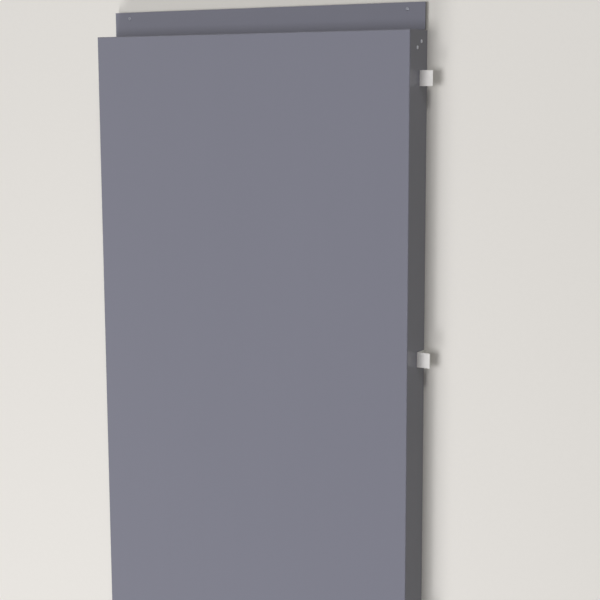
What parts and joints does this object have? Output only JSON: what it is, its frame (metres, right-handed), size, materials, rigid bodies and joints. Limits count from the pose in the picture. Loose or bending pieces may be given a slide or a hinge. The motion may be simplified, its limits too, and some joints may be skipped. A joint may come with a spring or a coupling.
{
  "type": "aluminium composite panel cassette",
  "caption": "Tall facade tray folded from aluminium composite sheet, with returns, a top fixing flange and riveted hanging lugs on both sides.",
  "frame": {"origin": "middle of the bounding box, on the floor that the panel lies on", "axes": "+X across the width, +Y along the length towards the fixing flange, +Z out of the face; the panel lies face up on the back edges of its returns"},
  "size_m": [0.752, 2.27, 0.07],
  "materials": {
    "coated_composite": "semi-gloss metallic coat, blue-grey",
    "mill_aluminium": "mill finish, slightly dull"
  },
  "bodies": {
    "root": {"cassette": "coated_composite", "cleat_top_left": "mill_aluminium", "cleat_top_right": "mill_aluminium", "cleat_bottom_left": "mill_aluminium", "cleat_bottom_right": "mill_aluminium", "lug_left_1": "mill_aluminium", "lug_left_2": "mill_aluminium", "lug_left_3": "mill_aluminium", "lug_left_4": "mill_aluminium", "lug_left_5": "mill_aluminium", "lug_right_1": "mill_aluminium", "lug_right_2": "mill_aluminium", "lug_right_3": "mill_aluminium", "lug_right_4": "mill_aluminium", "lug_right_5": "mill_aluminium"}
  },
  "joints": []
}
